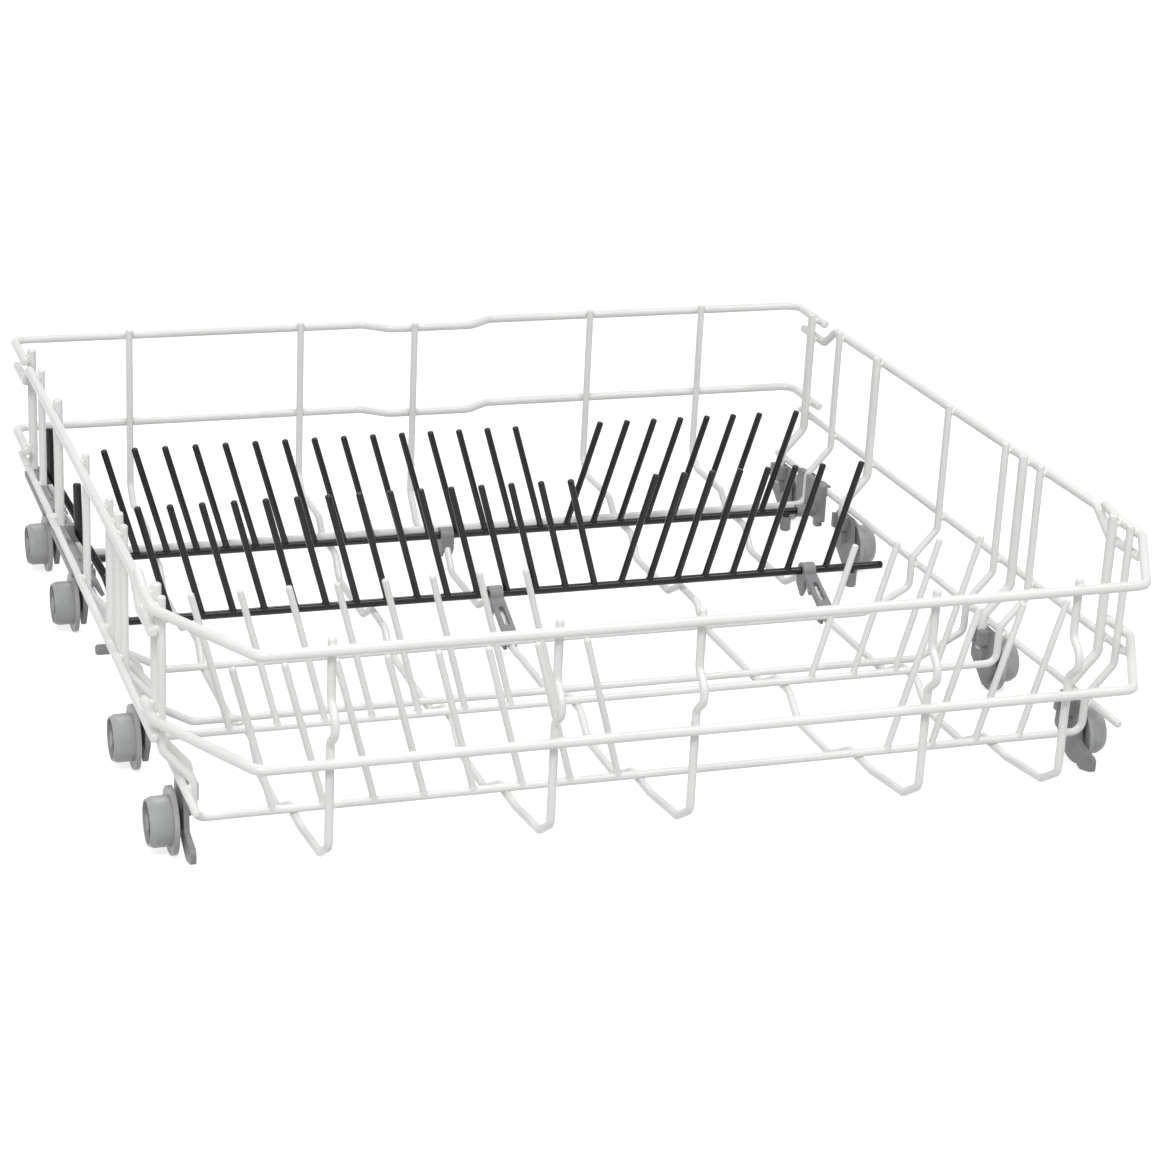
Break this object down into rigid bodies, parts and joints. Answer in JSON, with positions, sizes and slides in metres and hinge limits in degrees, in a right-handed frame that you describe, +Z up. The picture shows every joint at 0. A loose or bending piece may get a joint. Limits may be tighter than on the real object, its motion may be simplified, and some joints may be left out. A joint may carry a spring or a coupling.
{
  "type": "dishwasher lower basket",
  "caption": "White coated wire dishwasher basket on grey wheels, with two black fold-down tine rows and two fixed white tine rows.",
  "frame": {"origin": "under the middle of the basket's outline, at the level the wheels' flanges reach down to", "axes": "+Z up, +Y towards the back of the basket (into the machine), +X to its right"},
  "size_m": [0.505, 0.517, 0.1377],
  "materials": {
    "white_coating": "satin",
    "black_coating": "gloss",
    "grey_plastic": "satin",
    "wheel_plastic": "satin"
  },
  "bodies": {
    "frame": {"front_top_rail": "white_coating", "rear_top_rail": "white_coating", "front_middle_rail": "white_coating", "rear_middle_rail": "white_coating", "left_top_rail": "white_coating", "right_top_rail": "white_coating", "left_middle_rail": "white_coating", "right_middle_rail": "white_coating", "left_low_rail": "white_coating", "right_low_rail": "white_coating", "left_wheel_post_1": "white_coating", "left_wheel_post_2": "white_coating", "left_wheel_post_3": "white_coating", "left_wheel_post_4": "white_coating", "right_wheel_post_1": "white_coating", "right_wheel_post_2": "white_coating", "right_wheel_post_3": "white_coating", "right_wheel_post_4": "white_coating", "long_hoop_1": "white_coating", "long_hoop_2": "white_coating", "long_hoop_3": "white_coating", "long_hoop_4": "white_coating", "long_hoop_5": "white_coating", "cross_hoop_1": "white_coating", "cross_hoop_2": "white_coating", "cross_hoop_3": "white_coating", "cross_hoop_4": "white_coating", "cross_hoop_5": "white_coating", "middle_fixed_tines": "white_coating", "front_fixed_tines": "white_coating", "front_lever_latch": "grey_plastic", "rear_lever_latch": "grey_plastic", "front_middle_clip": "grey_plastic", "front_right_clip": "grey_plastic", "rear_middle_clip": "grey_plastic", "rear_right_holder": "grey_plastic", "stop_peg": "grey_plastic", "left_wheel_bracket_1": "grey_plastic", "left_wheel_bracket_2": "grey_plastic", "left_wheel_bracket_3": "grey_plastic", "left_wheel_bracket_4": "grey_plastic", "right_wheel_bracket_1": "grey_plastic", "right_wheel_bracket_2": "grey_plastic", "right_wheel_bracket_3": "grey_plastic", "right_wheel_bracket_4": "grey_plastic"},
    "front_fold_row": {"front_fold_rod": "black_coating", "front_fold_tines": "black_coating", "front_stub_cap": "grey_plastic"},
    "rear_fold_row": {"rear_fold_rod": "black_coating", "rear_fold_tines": "black_coating", "rear_stub_cap": "grey_plastic"},
    "left_wheel_1_body": {"left_wheel_1": "wheel_plastic"},
    "left_wheel_2_body": {"left_wheel_2": "wheel_plastic"},
    "left_wheel_3_body": {"left_wheel_3": "wheel_plastic"},
    "left_wheel_4_body": {"left_wheel_4": "wheel_plastic"},
    "right_wheel_1_body": {"right_wheel_1": "wheel_plastic"},
    "right_wheel_2_body": {"right_wheel_2": "wheel_plastic"},
    "right_wheel_3_body": {"right_wheel_3": "wheel_plastic"},
    "right_wheel_4_body": {"right_wheel_4": "wheel_plastic"}
  },
  "joints": [
    {"name": "front_row_fold", "type": "hinge", "parent": "frame", "child": "front_fold_row", "pos_m": [0, 0.0605, 0.0266], "axis": [1, 0, 0], "range_deg": [0, 70]},
    {"name": "rear_row_fold", "type": "hinge", "parent": "frame", "child": "rear_fold_row", "pos_m": [0, 0.16049, 0.0266], "axis": [1, 0, 0], "range_deg": [0, 70]},
    {"name": "left_wheel_1_turn", "type": "hinge", "parent": "frame", "child": "left_wheel_1_body", "pos_m": [-0.24339, 0.21899, 0.0166], "axis": [1, 0, 0], "continuous": true},
    {"name": "left_wheel_2_turn", "type": "hinge", "parent": "frame", "child": "left_wheel_2_body", "pos_m": [-0.24339, 0.1205, 0.0166], "axis": [1, 0, 0], "continuous": true},
    {"name": "left_wheel_3_turn", "type": "hinge", "parent": "frame", "child": "left_wheel_3_body", "pos_m": [-0.24339, -0.0695, 0.0166], "axis": [1, 0, 0], "continuous": true},
    {"name": "left_wheel_4_turn", "type": "hinge", "parent": "frame", "child": "left_wheel_4_body", "pos_m": [-0.24339, -0.168, 0.0166], "axis": [1, 0, 0], "continuous": true},
    {"name": "right_wheel_1_turn", "type": "hinge", "parent": "frame", "child": "right_wheel_1_body", "pos_m": [0.24339, 0.21899, 0.0166], "axis": [1, 0, 0], "continuous": true},
    {"name": "right_wheel_2_turn", "type": "hinge", "parent": "frame", "child": "right_wheel_2_body", "pos_m": [0.24339, 0.1205, 0.0166], "axis": [1, 0, 0], "continuous": true},
    {"name": "right_wheel_3_turn", "type": "hinge", "parent": "frame", "child": "right_wheel_3_body", "pos_m": [0.24339, -0.0695, 0.0166], "axis": [1, 0, 0], "continuous": true},
    {"name": "right_wheel_4_turn", "type": "hinge", "parent": "frame", "child": "right_wheel_4_body", "pos_m": [0.24339, -0.168, 0.0166], "axis": [1, 0, 0], "continuous": true}
  ]
}
